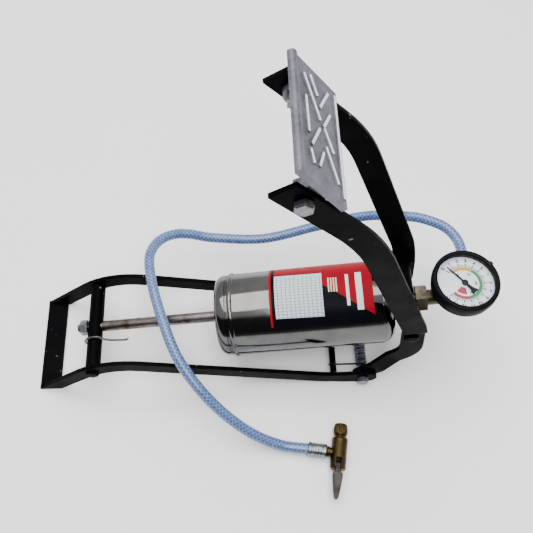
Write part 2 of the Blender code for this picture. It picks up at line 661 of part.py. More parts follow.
def build_gauge(parent):
    """Case, bezel, dial and lens, with the pressure tube and movement under the dial."""
    centre = Vector((GAUGE_X, 0, 0))
    up = Vector((0, 0, 1))
    collar = RISER_TOP + GAP
    stem = [(1.2, 76.5), (3.3, 76.5), (3.3, collar), (6.4, collar), (6.4, 82.4), (3.3, 82.4),
            (3.3, 86.4), (1.2, 86.4)]
    add_node("gauge_stem", lathe(stem, centre, up, 18), "brass", parent)
    case_r = GAUGE_R - 1.0
    wall_top = GAUGE_TOP - 2.9
    case = [(3.6, CASE_FLOOR - 0.6), (case_r - 2.6, CASE_FLOOR - 0.6), (case_r - 0.8, CASE_FLOOR + 0.3),
            (case_r, CASE_FLOOR + 2.2), (case_r, wall_top), (case_r - 1.5, wall_top),
            (case_r - 1.5, CASE_FLOOR + 1.4), (3.6, CASE_FLOOR + 1.4)]
    add_node("gauge_case", lathe(case, centre, up, 36), "gauge_black", parent)
    bezel = [(GAUGE_R, 91.4), (GAUGE_R, GAUGE_TOP - 1.4), (GAUGE_R - 0.9, GAUGE_TOP - 0.2),
             (GAUGE_R - 1.8, GAUGE_TOP), (20.3, GAUGE_TOP), (20.3, GAUGE_TOP - 0.75),
             (22.4, GAUGE_TOP - 0.75), (22.4, wall_top), (GAUGE_R - 0.7, wall_top),
             (GAUGE_R - 0.7, 91.4)]
    add_node("gauge_bezel", lathe(bezel, centre, up, 36), "gauge_black", parent)
    lens = [(0, wall_top + GAP), (22.1, wall_top + GAP), (22.1, GAUGE_TOP - 1.05), (0, GAUGE_TOP - 1.05)]
    add_node("gauge_lens", lathe(lens, centre, up, 32), "lens_clear", parent)
    dial = [(1.1, DIAL_TOP - 0.8), (21.1, DIAL_TOP - 0.8), (21.1, DIAL_TOP), (1.1, DIAL_TOP)]
    add_node("gauge_dial", lathe(dial, centre, up, 32), "dial_white", parent)
    tube = []
    for i in range(17):
        a = math.radians(200 + 260 * i / 16)
        tube.append((GAUGE_X + 14.0 * math.cos(a), 14.0 * math.sin(a), 87.6))
    add_wire("bourdon_tube", tube, 1.4, "brass", parent, 1)
    block = [(1.1, 87.0), (5.0, 87.0), (5.0, 90.4), (1.1, 90.4)]
    add_node("gauge_movement", lathe(block, centre, up, 12), "brass", parent)


def build_needle(parent):
    """Pointer and spindle, turning about the dial's centre."""
    centre = Vector((GAUGE_X, 0, DIAL_TOP))
    spindle = [(0, -3.6), (0.8, -3.6), (0.8, 0.4), (2.4, 0.4), (2.4, 1.6), (1.6, 2.2), (0, 2.2)]
    needle = add_node("gauge_needle", lathe(spindle, centre, (0, 0, 1), 16), "gauge_black",
                      parent, centre)
    angle = math.radians(138)
    run = Vector((math.cos(angle), math.sin(angle), 0))
    side = Vector((-run.y, run.x, 0))
    blade = [(-7.0, -1.9), (-4.0, -1.2), (17.5, -0.3), (17.5, 0.3), (-4.0, 1.2), (-7.0, 1.9)]
    tool = add_node("needle_blade_tool", extrude_section([blade], centre, run, side, 0.8, 1.3),
                    "gauge_black", parent, centre)
    boolean(needle, tool, "UNION")


# ------------------------------------------------------------------------------------------
# rod and piston
# ------------------------------------------------------------------------------------------
def build_rod(parent):
    """Front cross tube, rod, nut and the piston stack inside the barrel."""
    half = RAIL_Y - STRIP_T - GAP
    bar = [(0, -half), (FRONT_TUBE_R - 0.5, -half), (FRONT_TUBE_R, -half + 0.5),
           (FRONT_TUBE_R, half - 0.5), (FRONT_TUBE_R - 0.5, half), (0, half)]
    tube = add_node("front_cross_tube", lathe(bar, FRONT, ACROSS, 28), "black_paint", parent)
    boolean(tube, cutter("rod_hole_tool", 3.0 + GAP, FRONT, 12.0, AXIS, parent), "DIFFERENCE")
    shoulder = FRONT_TUBE_R + GAP
    end = PISTON_AT + 17.0
    rod = [(0, -13.5), (2.4, -13.5), (3.0, -12.9), (3.0, shoulder), (ROD_R, shoulder),
           (ROD_R, PISTON_AT), (3.0, PISTON_AT), (3.0, end), (0, end)]
    add_node("piston_rod", lathe(rod, FRONT, AXIS, 24), "rod_steel", parent)
    hex_nut("rod_nut", along(-FRONT_TUBE_R - GAP), -AXIS, 10.0, 5.2, 3.0 + GAP, "zinc_steel", parent)
    hole = 3.0 + GAP
    disc_r = BARREL_R - BARREL_WALL - GAP
    plate = [(hole, PISTON_AT + GAP), (disc_r - 0.5, PISTON_AT + GAP),
             (disc_r - 0.5, PISTON_AT + 3.3), (hole, PISTON_AT + 3.3)]
    add_node("piston_plate", lathe(plate, FRONT, AXIS, 28), "zinc_steel", parent)
    cup = [(hole, PISTON_AT + 3.6), (disc_r, PISTON_AT + 3.6), (disc_r, PISTON_AT + 13.0),
           (disc_r - 2.0, PISTON_AT + 13.0), (disc_r - 2.6, PISTON_AT + 6.0),
           (hole, PISTON_AT + 6.0)]
    add_node("cup_seal", lathe(cup, FRONT, AXIS, 32), "rubber", parent)
    washer = [(hole, PISTON_AT + 6.3), (22.0, PISTON_AT + 6.3), (22.0, PISTON_AT + 8.3),
              (hole, PISTON_AT + 8.3)]
    add_node("seal_washer", lathe(washer, FRONT, AXIS, 24), "zinc_steel", parent)
    hex_nut("piston_nut", along(PISTON_AT + 8.6), AXIS, 10.0, 5.2, hole, "zinc_steel", parent)


def build_stow_hook(parent):
    """Wire hook that swings on the front cross tube."""
    wire_r = 0.9
    loop_r = FRONT_TUBE_R + wire_r + 0.35
    y0 = -13.0
    points = []
    for i in range(15):
        a = math.radians(-70 - 20 * i)
        points.append((FRONT.x + loop_r * math.cos(a), y0 + 0.16 * i, FRONT.z + loop_r * math.sin(a)))
    last = points[-1]
    points.append((FRONT.x + 12.0, last[1], FRONT.z - 0.5))
    points.append((FRONT.x + 22.0, last[1], FRONT.z - 0.8))
    points.append((FRONT.x + 24.5, last[1], FRONT.z + 0.6))
    points.append((FRONT.x + 25.0, last[1], FRONT.z + 3.4))
    add_wire("stow_hook", points, wire_r, "zinc_steel", parent, 1)


# ------------------------------------------------------------------------------------------
# hose and chuck
# ------------------------------------------------------------------------------------------
def chuck_axes():
    """Chuck length toward its mouth, and the level direction across it toward +X."""
    length = Vector((math.sin(CHUCK_TURN), math.cos(CHUCK_TURN), 0))
    return length, Vector((length.y, -length.x, 0))


def hose_route():
    """Route of the hose from the tee to the chuck, chosen by hand, millimetres."""
    hub = Vector((GAUGE_X, 0, along((GAUGE_X - FRONT.x) / AXIS.x).z))
    start = hub + port_direction() * (28.0 + GAP)
    length, across = chuck_axes()
    end = CHUCK + length * STEM_OFFSET - across * 23.2
    return [start, (309.8, 35.5, 74.1), (308.4, 45.5, 73.6), (303.6, 55.4, 72.3),
            (295.4, 63.2, 70.2), (278.5, 72.2, 65.4), (246.0, 81.6, 52.5), (208.0, 81.6, 38.0),
            (166.0, 76.3, 29.0), (126.0, 76.4, 31.0), (106.0, 77.3, 36.0), (94.3, 75.0, 39.8),
            (84.4, 68.4, 43.4), (78.2, 58.6, 46.2), (76.2, 46.0, 48.2), (79.8, 22.8, 50.0),
            (87.9, -5.2, 50.3), (98.2, -31.9, 49.0), (112.4, -52.6, 42.3), (130.4, -68.6, 29.6),
            (151.7, -80.6, 15.6), (173.0, -87.4, 7.2), end]


def build_hose(parent):
    """Free hose, its crimped ferrule and the brass chuck."""
    length, across = chuck_axes()
    points = smooth_curve(hose_route(), 2)
    points.insert(1, points[0] + port_direction() * 1.5)
    points.insert(-1, points[-1] - across * 1.5)
    add_wire("hose", points, HOSE_R, "hose_blue", parent, 3)
    joint = CHUCK + length * STEM_OFFSET
    ferrule = [(0, -22.9), (5.0, -22.9), (5.3, -22.2), (5.3, -9.6), (4.6, -8.8), (0, -8.8)]
    add_node("hose_ferrule", lathe(ferrule, joint, across, 24), "zinc_steel", parent)
    body = [(0, -18.0), (4.9, -18.0), (CHUCK_R, -17.0), (CHUCK_R, 5.0), (5.2, 5.8), (4.1, 6.1),
            (4.1, 7.0), (4.9, 7.5), (4.9, 15.0), (4.5, 15.8), (4.1, 15.8), (4.1, 8.0),
            (1.2, 8.0), (1.2, -4.0), (0, -4.0)]
    chuck = add_node("chuck_body", lathe(body, CHUCK, length, 24), "brass", parent)
    stem = add_node("chuck_stem_tool", cylinder(3.2, joint - across * 8.5, joint - across * 2.0),
                    "brass", parent)
    boolean(chuck, stem, "UNION")
    slot = bmesh.new()
    bmesh.ops.create_cube(slot, size=1.0)
    bmesh.ops.scale(slot, vec=(4.2, 14.0, 20.0), verts=slot.verts)
    bmesh.ops.rotate(slot, matrix=Matrix.Rotation(-CHUCK_TURN, 3, "Z"), verts=slot.verts)
    bmesh.ops.translate(slot, vec=CHUCK - length * 17.0, verts=slot.verts)
    boolean(chuck, add_node("lever_slot_tool", slot, "brass", parent), "DIFFERENCE")
    pin_at = CHUCK - length * 14.0
    pin_hole = cutter("pin_hole_tool", 1.2, pin_at, 9.0, across, parent, 16)
    boolean(chuck, pin_hole, "DIFFERENCE")
    pin = cylinder(0.9, pin_at - across * 5.2, pin_at + across * 5.2, 14)
    add_node("chuck_pin", pin, "zinc_steel", parent)
    seal = [(1.3, 8.3), (3.8, 8.3), (3.8, 11.0), (1.3, 11.0)]
    add_node("chuck_seal", lathe(seal, CHUCK, length, 16), "rubber", parent)


def build_chuck_lever(parent):
    """Thumb lever turning on the chuck's cross pin."""
    length, across = chuck_axes()
    pin_at = CHUCK - length * 14.0
    up = Vector((0, 0, 1))
    outline = []
    for i in range(9):
        a = math.radians(-90 + 22.5 * i)
        outline.append((2.6 * math.cos(a), 2.6 * math.sin(a)))
    outline += [(-8.0, 3.4), (-14.0, 3.8), (-14.0, 2.6), (-8.0, -2.0)]
    loops = [outline, ring_2d(1.2, 14)]
    lever = extrude_section(loops, pin_at, length, up, -1.8, 1.8)
    obj = add_node("chuck_lever", lever, "zinc_steel", parent, pin_at)
    half_leaf = [(-6.6, 3.4), (-9.0, 3.8), (-14.0, 3.3), (-20.0, 2.5), (-24.2, 1.8), (-25.8, 1.0)]
    leaf = half_leaf + [(-26.3, 0.0)] + [(u, -v) for u, v in reversed(half_leaf)]
    tool = extrude_section([leaf], pin_at, length, across, -4.4, -2.3)
    boolean(obj, add_node("lever_leaf_tool", tool, "zinc_steel", parent, pin_at), "UNION")


def clear_scene():
    """Start from an empty scene."""
    for obj in list(bpy.data.objects):
        bpy.data.objects.remove(obj, do_unlink=True)


clear_scene()
MATERIALS = make_materials()
build_base()
LEVER = add_pivot("lever_axis", HINGE)
build_lever(LEVER)
BARREL = add_pivot("barrel_axis", ELBOW, LEVER)
build_cylinder(BARREL)
build_outlet(BARREL)
build_gauge(BARREL)
build_needle(BARREL)
build_hose(BARREL)
build_chuck_lever(BARREL)
ROD = add_pivot("rod_axis", FRONT, BARREL)
build_rod(ROD)
build_stow_hook(ROD)
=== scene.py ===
"""Foot air pump: camera, light, finishes, braided hose, label, dial and small fittings.

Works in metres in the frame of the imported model: X from the front foot to the gauge, Y from
the near rail to the far rail, Z up.
"""
import math

import bmesh
import bpy
from mathutils import Matrix, Vector


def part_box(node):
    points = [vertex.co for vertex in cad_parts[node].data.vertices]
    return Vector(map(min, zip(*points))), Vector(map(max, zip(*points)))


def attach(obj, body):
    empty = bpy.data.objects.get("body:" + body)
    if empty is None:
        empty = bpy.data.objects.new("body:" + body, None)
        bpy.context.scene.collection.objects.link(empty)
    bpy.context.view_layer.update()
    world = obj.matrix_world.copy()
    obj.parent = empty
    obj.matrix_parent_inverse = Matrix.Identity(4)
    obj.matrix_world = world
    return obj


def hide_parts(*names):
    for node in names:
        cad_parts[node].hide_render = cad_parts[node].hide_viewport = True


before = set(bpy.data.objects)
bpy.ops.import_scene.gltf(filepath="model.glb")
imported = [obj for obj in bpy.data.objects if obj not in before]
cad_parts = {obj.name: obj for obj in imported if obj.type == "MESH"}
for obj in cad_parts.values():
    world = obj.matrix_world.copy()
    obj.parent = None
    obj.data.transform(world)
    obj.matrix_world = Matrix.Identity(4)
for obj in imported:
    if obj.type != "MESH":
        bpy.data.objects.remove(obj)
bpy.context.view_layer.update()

MM = 0.001
UP = Vector((0, 0, 1))
ACROSS = Vector((0, 1, 0))

# --- places taken from the frame ----------------------------------------------------------


def middle(node):
    """Centre of a CAD node's box."""
    low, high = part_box(node)
    return (low + high) / 2


FRONT = middle("front_cross_tube")
ELBOW = middle("rear_cross_tube")
AXIS = (ELBOW - FRONT).normalized()
OUT = Vector((-AXIS.z, 0, AXIS.x))
DIAL = Vector((middle("gauge_dial").x, middle("gauge_dial").y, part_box("gauge_dial")[1].z))
PEDAL_BOLT = Vector((middle("pedal_bolt_near").x, 0, middle("pedal_bolt_near").z))

# --- barrel and label ---------------------------------------------------------------------
BARREL_R = 30.0 * MM
LABEL_START = 135.0 * MM        # along the barrel's axis, from the front cross tube
LABEL_END = 207.8 * MM
LABEL_LOW = math.radians(48.0)  # round the barrel, from its top toward the near side
LABEL_HIGH = math.radians(-62.0)
LABEL_SKEW = math.radians(4.0)
LABEL_LIFT = 0.12 * MM
LABEL_CURL = 0.10 * MM          # how far the lower seam stands off
CURL_SHARE = 0.06               # share of the label's width that the curl takes

# Boxes on the label as (low U, high U, low V, high V)
LABEL_EDGE_STRIPE = (-1.0, 0.022, -1.0, 2.0)
LABEL_TOP_STRIPE = (0.05, 0.50, 0.715, 2.0)
LABEL_TABLE = (0.055, 0.52, 0.105, 0.70)
LABEL_TABLE_HEAD = (0.06, 0.52, 0.655, 0.69)
LABEL_BARS = ((0.745, 0.775, 0.22, 0.64), (0.84, 0.90, 0.16, 0.66))
TABLE_COLUMNS = 24.0
TABLE_ROWS = 26.0

# --- pedal --------------------------------------------------------------------------------
PEDAL_TILT = math.radians(52.4)
TREAD_TOP = 14.0 * MM           # from the pedal bolts to the tread's face
RIB_RISE = 0.8 * MM
CAP_SINK = 0.05 * MM            # how far each bright cap is set into its bar; the cap's brightness is partly foot polish, partly a painted highlight
# Ends of each raised bar in millimetres: (down the tread, down the tread, across, across)
TREAD_BARS = [
    (15.5, 15.5, 33.3, -33.3), (-14.9, -2.1, 28.3, 5.4), (-8.7, -3.1, 31.1, 20.7),
    (1.3, 8.5, 2.3, -9.3), (1.5, 10.9, -9.2, -26.8), (-14.6, -14.0, 13.7, -8.8),
    (-13.7, -11.3, -18.7, -26.3), (8.1, -1.5, 29.8, 14.2), (8.3, 0.5, 15.3, 2.8),
    (-3.5, -12.3, -0.7, -15.3), (-1.7, -6.5, -14.7, -25.3)]

# --- hose and chuck -----------------------------------------------------------------------
HOSE_D = 7.9 * MM
BRAID_TURNS = 6.0               # threads of each hand round the hose
BRAID_PITCH = 3.2 * MM
HOSE_ROUTE = [
    (0.30885, 0.02746, 0.07412), (0.3098, 0.0355, 0.0741), (0.3084, 0.0455, 0.0736),
    (0.3036, 0.0554, 0.0723), (0.2954, 0.0632, 0.0702), (0.2785, 0.0722, 0.0654),
    (0.2460, 0.0816, 0.0525), (0.2080, 0.0816, 0.0380), (0.1660, 0.0763, 0.0290),
    (0.1260, 0.0764, 0.0310), (0.1060, 0.0773, 0.0360), (0.0943, 0.0750, 0.0398),
    (0.0844, 0.0684, 0.0434), (0.0782, 0.0586, 0.0462), (0.0762, 0.0460, 0.0482),
    (0.0798, 0.0228, 0.0500), (0.0879, -0.0052, 0.0503), (0.0982, -0.0319, 0.0490),
    (0.1124, -0.0526, 0.0423), (0.1304, -0.0686, 0.0296), (0.1517, -0.0806, 0.0156),
    (0.1730, -0.0874, 0.0072), (0.19243, -0.0904, 0.0060)]
CHUCK = Vector((0.2162, -0.0886, 0.0060))
CHUCK_TURN = math.radians(9.0)
CHUCK_ALONG = Vector((math.sin(CHUCK_TURN), math.cos(CHUCK_TURN), 0))
CHUCK_ACROSS = Vector((CHUCK_ALONG.y, -CHUCK_ALONG.x, 0))
STEM = CHUCK - CHUCK_ALONG * 5.5 * MM
HOSE_END = STEM - CHUCK_ACROSS * 23.1 * MM
PORT_TURN = math.radians(14.0)
PORT = Vector((math.sin(PORT_TURN), math.cos(PORT_TURN), 0))
HUB = Vector(HOSE_ROUTE[0]) - PORT * 28.3 * MM

# --- dial ---------------------------------------------------------------------------------
BAND = (10.2, 12.6)             # inner and outer radius of the coloured bands, millimetres
BANDS = {"yellow": (136, 58), "green": (58, -82), "red": (-82, -140)}
SCALE_START = 140.0             # degrees, counted anticlockwise from +X
SCALE_SWEEP = 280.0
SCALE_MARKS = 42
MARKS_PER_NUMBER = 3
MARK_FOOT = 13.1
LONG_MARK = (15.6, 0.38)        # outer radius and half width, millimetres
SHORT_MARK = (14.6, 0.20)
OUTER_NUMBERS = (17.8, 3.5)     # radius and height, millimetres
INNER_NUMBERS = (7.9, 2.2)
NUMBER_WEIGHT = 0.045           # how much the strokes are thickened, as a share of the height
NEEDLE_ANGLE = math.radians(131)
TAB_ANGLE = math.radians(33)

# --- camera and studio --------------------------------------------------------------------
CAMERA_AT = Vector((0.1381, -0.24748, 0.57252))
CAMERA_RIGHT = Vector((0.99879, -0.03693, 0.03233))
CAMERA_UP = Vector((0.01683, 0.87646, 0.48119))
CAMERA_AHEAD = Vector((0.04611, 0.48006, -0.87602))
CAMERA_LENS = 52.77
FLOOR_HALF = 3.0
LAMP_TARGET = (0.16, 0.0, 0.05)
ROOM_STRENGTH = 1.15
# Grey of the room by climb in degrees: 0 is the near horizon, 90 overhead, 180 the far horizon
ROOM_GREYS = ((-180, 0.90), (-120, 0.90), (-60, 0.20), (0, 0.20), (8, 0.045), (50, 0.06),
              (60, 0.85), (82, 1.0), (100, 0.95), (180, 0.90))


# ------------------------------------------------------------------------------------------
# shader helpers
# ------------------------------------------------------------------------------------------
class Shader:
    """A Principled material with short calls for the nodes that the finishes share."""

    def __init__(self, name, **uniform):
        self.mat = bpy.data.materials.new(name)
        self.mat.use_nodes = True
        self.tree = self.mat.node_tree
        self.main = self.tree.nodes["Principled BSDF"]
        for socket, value in uniform.items():
            self.main.inputs[socket.replace("_", " ")].default_value = value

    def add(self, kind, **settings):
        node = self.tree.nodes.new(kind)
        for key, value in settings.items():
            setattr(node, key, value)
        return node

    def link(self, source, target):
        self.tree.links.new(source, target)
        return target

    def place(self, stretch=(1, 1, 1), turn=(0, 0, 0)):
        """Rest coordinates of the piece, turned and then stretched."""
        coords = self.add("ShaderNodeTexCoord")
        mapping = self.add("ShaderNodeMapping")
        mapping.inputs["Rotation"].default_value = turn
        mapping.inputs["Scale"].default_value = stretch
        self.link(coords.outputs["Object"], mapping.inputs["Vector"])
        return mapping.outputs["Vector"]

    def noise(self, scale, detail=4.0, rough=0.6, where=None):
        node = self.add("ShaderNodeTexNoise")
        node.inputs["Scale"].default_value = scale
        node.inputs["Detail"].default_value = detail
        node.inputs["Roughness"].default_value = rough
        self.link(where or self.place(), node.inputs["Vector"])
        return node.outputs["Fac"]

    def ramp(self, value, *stops):
        """Colour ramp through (position, colour or grey)."""
        node = self.add("ShaderNodeValToRGB")
        while len(node.color_ramp.elements) < len(stops):
            node.color_ramp.elements.new(0.5)
        for element, (at, colour) in zip(node.color_ramp.elements, stops):
            element.position = at
            colour = colour if hasattr(colour, "__len__") else (colour,) * 3
            element.color = (*colour, 1.0)
        self.link(value, node.inputs["Fac"])
        return node.outputs["Color"]

    def mix(self, factor, low, high):
        """Mix two colours, each a socket or a plain colour."""
        node = self.add("ShaderNodeMix", data_type="RGBA")
        for value, socket in ((factor, node.inputs[0]), (low, node.inputs[6]), (high, node.inputs[7])):
            if isinstance(value, bpy.types.NodeSocket):
                self.link(value, socket)
            elif hasattr(value, "__len__"):
                socket.default_value = (*value, 1.0)
            else:
                socket.default_value = value
        return node.outputs[2]

    def maths(self, operation, a, b=0.0, c=0.0):
        node = self.add("ShaderNodeMath", operation=operation)
        for value, socket in zip((a, b, c), node.inputs):
            if isinstance(value, bpy.types.NodeSocket):
                self.link(value, socket)
            else:
                socket.default_value = value
        return node.outputs[0]

    def colour(self, socket):
        self.link(socket, self.main.inputs["Base Color"])

    def roughness(self, socket):
        self.link(socket, self.main.inputs["Roughness"])

    def bump(self, height, strength, distance=0.0002, edge=0.0):
        """Surface relief, over edges rounded by `edge` metres."""
        node = self.add("ShaderNodeBump")
        node.inputs["Strength"].default_value = strength
        node.inputs["Distance"].default_value = distance
        self.link(height, node.inputs["Height"])
        if edge:
            soft = self.add("ShaderNodeBevel", samples=4)
            soft.inputs["Radius"].default_value = edge
            self.link(soft.outputs["Normal"], node.inputs["Normal"])
        self.link(node.outputs["Normal"], self.main.inputs["Normal"])


def metal(name, dark, light, rough, grain=220.0, edge=0.0004, stain=None, stretch=(1, 1, 1)):
    """Worn bare metal: cloudy colour, uneven gloss, fine relief and optional stains."""
    s = Shader(name, Metallic=1.0)
    cloud = s.noise(grain, 5.0, 0.65, s.place(stretch))
    base = s.ramp(cloud, (0.30, dark), (0.70, light))
    if stain:
        patch = s.ramp(s.noise(95.0, 3.0, 0.7), (0.52, 0.0), (0.68, 1.0))
        base = s.mix(patch, base, stain)
    s.colour(base)
    s.roughness(s.ramp(s.noise(grain * 0.45, 4.0), (0.3, rough[0]), (0.7, rough[1])))
    s.bump(s.noise(grain * 5.0, 3.0, 0.7, s.place(stretch)), 0.15, 0.00015, edge)
    return s.mat


def black_paint(name, rough=(0.30, 0.48), edge=0.0007):
    """Semi-gloss black enamel with orange peel, dust, softly rounded edges and small chips."""
    s = Shader(name, Specular_IOR_Level=0.015)
    shade = s.ramp(s.noise(38.0, 4.0), (0.35, (0.0008, 0.0009, 0.0011)),
                   (0.70, (0.0022, 0.0024, 0.0028)))
    dust = s.ramp(s.noise(520.0, 5.0, 0.75), (0.62, 0.0), (0.80, 0.45))
    dusty = s.mix(dust, shade, (0.010, 0.010, 0.011))
    chips = s.ramp(s.noise(240.0, 2.0, 0.5), (0.735, 0.0), (0.755, 1.0))
    s.colour(s.mix(chips, dusty, (0.16, 0.145, 0.13)))
    s.roughness(s.ramp(s.noise(70.0, 4.0), (0.3, rough[0]), (0.7, rough[1])))
    s.bump(s.noise(650.0, 2.0), 0.12, 0.0002, edge)
    return s.mat


def chrome_plate(name):
    """Bright plated tube with faint swirls, fine scratches and dull fingerprints."""
    s = Shader(name, Metallic=1.0)
    tilt = math.atan2(AXIS.z, AXIS.x)
    fine = s.noise(60.0, 4.0, 0.7, s.place((1.2, 26.0, 26.0), (0, tilt, 0)))
    s.colour(s.ramp(s.noise(42.0, 4.0), (0.32, (0.092, 0.092, 0.096)), (0.68, (0.140, 0.137, 0.126))))
    smear = s.ramp(s.noise(55.0, 5.0, 0.7), (0.45, 0.07), (0.75, 0.17))
    s.roughness(smear)
    s.bump(s.mix(0.5, fine, s.noise(24.0, 2.0)), 0.05, 0.0002)
    return s.mat


def cast_metal(name, dark, light, rough, relief, metallic=0.88):
    """Sand-cast aluminium: pitted skin with grey shadows in the low places."""
    s = Shader(name, Metallic=metallic)
    coarse = s.noise(420.0, 6.0, 0.72)
    s.colour(s.ramp(s.mix(0.5, coarse, s.noise(60.0)), (0.34, dark), (0.66, light)))
    s.roughness(s.ramp(coarse, (0.3, rough[0]), (0.7, rough[1])))
    s.bump(coarse, relief, 0.0006, 0.0006)
    return s.mat


def moulded(name, dark, light, rough, grain=900.0, relief=0.25, edge=0.0004, **uniform):
    """Moulded rubber or plastic with a fine matt skin."""
    s = Shader(name, **uniform)
    s.colour(s.ramp(s.noise(55.0, 4.0), (0.3, dark), (0.7, light)))
    s.roughness(s.ramp(s.noise(130.0), (0.3, rough[0]), (0.7, rough[1])))
    s.bump(s.noise(grain, 3.0, 0.7), relief, 0.00012, edge)
    return s.mat


def print_ink(name, colour):
    """Printed ink, slightly mottled by the sheet under it."""
    low = [c * 0.86 for c in colour]
    return moulded(name, low, colour, (0.34, 0.46), 1500.0, 0.05, 0.0)


def braided_pvc(name):
    """Clear blue PVC over a pale diamond braid, laid out by turns and metres along the hose."""
    s = Shader(name, Specular_IOR_Level=0.55, Coat_Weight=0.35, Coat_Roughness=0.12)
    coords = s.add("ShaderNodeTexCoord")
    split = s.add("ShaderNodeSeparateXYZ")
    s.link(coords.outputs["UV"], split.inputs[0])
    threads = []
    for hand in (1.0, -1.0):
        turns = s.maths("MULTIPLY", split.outputs["X"], hand * BRAID_TURNS)
        phase = s.maths("MULTIPLY_ADD", split.outputs["Y"], 1.0 / BRAID_PITCH, turns)
        saw = s.maths("PINGPONG", phase, 0.5)
        threads.append(s.ramp(saw, (0.045, 1.0), (0.125, 0.0)))
    either = s.maths("MAXIMUM", threads[0], threads[1])
    worn = s.maths("MULTIPLY", either, s.ramp(s.noise(260.0, 4.0, 0.7), (0.30, 0.15), (0.62, 0.85)))
    body = s.ramp(s.noise(75.0, 4.0), (0.3, (0.028, 0.070, 0.20)), (0.7, (0.052, 0.112, 0.28)))
    s.colour(s.mix(worn, body, (0.27, 0.36, 0.56)))
    s.roughness(s.ramp(s.noise(110.0), (0.3, 0.20), (0.7, 0.34)))
    s.bump(either, 0.18, 0.0002)
    return s.mat


def label_print(name):
    """Generic two-colour label with a ruled table; U runs along the barrel, V up round it."""
    s = Shader(name, Specular_IOR_Level=0.04)
    coords = s.add("ShaderNodeTexCoord")
    split = s.add("ShaderNodeSeparateXYZ")
    s.link(coords.outputs["UV"], split.inputs[0])
    u, v = split.outputs["X"], split.outputs["Y"]

    def inside(low_u, high_u, low_v, high_v):
        """1 inside a rectangle of the label and 0 outside it."""
        parts = [s.maths("GREATER_THAN", u, low_u), s.maths("LESS_THAN", u, high_u),
                 s.maths("GREATER_THAN", v, low_v), s.maths("LESS_THAN", v, high_v)]
        total = parts[0]
        for part in parts[1:]:
            total = s.maths("MULTIPLY", total, part)
        return total

    red = (0.26, 0.003, 0.012)
    black = (0.0025, 0.0025, 0.0045)
    slope = s.maths("MULTIPLY_ADD", u, -0.86, 0.95)
    above = s.maths("GREATER_THAN", v, slope)
    diagonal = s.maths("MULTIPLY", above, s.maths("GREATER_THAN", u, 0.50))
    ground = s.mix(diagonal, black, red)
    ground = s.mix(inside(*LABEL_EDGE_STRIPE), ground, red)
    ground = s.mix(inside(*LABEL_TOP_STRIPE), ground, red)

    columns = s.maths("PINGPONG", s.maths("MULTIPLY", u, TABLE_COLUMNS), 0.5)
    rows = s.maths("PINGPONG", s.maths("MULTIPLY", v, TABLE_ROWS), 0.5)
    lines = s.maths("MAXIMUM", s.ramp(columns, (0.05, 1.0), (0.12, 0.0)),
                    s.ramp(rows, (0.05, 1.0), (0.13, 0.0)))
    cells = s.ramp(s.noise(1500.0, 2.0), (0.50, (0.64, 0.70, 0.73)), (0.64, (0.42, 0.48, 0.52)))
    table = s.mix(lines, cells, (0.20, 0.27, 0.30))
    table = s.mix(inside(*LABEL_TABLE_HEAD), table, (0.58, 0.63, 0.66))
    ground = s.mix(inside(*LABEL_TABLE), ground, table)

    for box in LABEL_BARS:
        ground = s.mix(inside(*box), ground, (0.74, 0.73, 0.72))
    for k in range(4):
        ground = s.mix(inside(0.575 + 0.025 * k, 0.588 + 0.025 * k, 0.40, 0.60), ground,
                       (0.62, 0.60, 0.45))
    rub = s.ramp(s.noise(150.0, 5.0, 0.75), (0.66, 0.0), (0.74, 0.5))
    s.colour(s.mix(rub, ground, (0.30, 0.29, 0.29)))
    s.roughness(s.ramp(s.noise(120.0), (0.3, 0.26), (0.7, 0.42)))
    s.bump(s.noise(700.0), 0.04, 0.0001)
    return s.mat


def clear_lens(name):
    """Thin clear window: mostly open, with a wiped gloss and faint dust."""
    s = Shader(name, Specular_IOR_Level=0.2)
    s.colour(s.ramp(s.noise(90.0), (0.3, (0.80, 0.83, 0.86)), (0.7, (0.90, 0.92, 0.94))))
    s.roughness(s.ramp(s.noise(140.0, 5.0), (0.3, 0.05), (0.7, 0.14)))
    s.link(s.ramp(s.noise(200.0, 5.0, 0.7), (0.45, 0.006), (0.75, 0.03)), s.main.inputs["Alpha"])
    return s.mat


def floor_finish(name):
    """Plain pale studio floor with a barely visible tooth."""
    s = Shader(name)
    s.colour(s.ramp(s.noise(6.0), (0.3, (0.91, 0.91, 0.91)), (0.7, (0.935, 0.935, 0.935))))
    s.roughness(s.ramp(s.noise(12.0), (0.3, 0.75), (0.7, 0.85)))
    s.bump(s.noise(300.0), 0.03, 0.0002)
    return s.mat


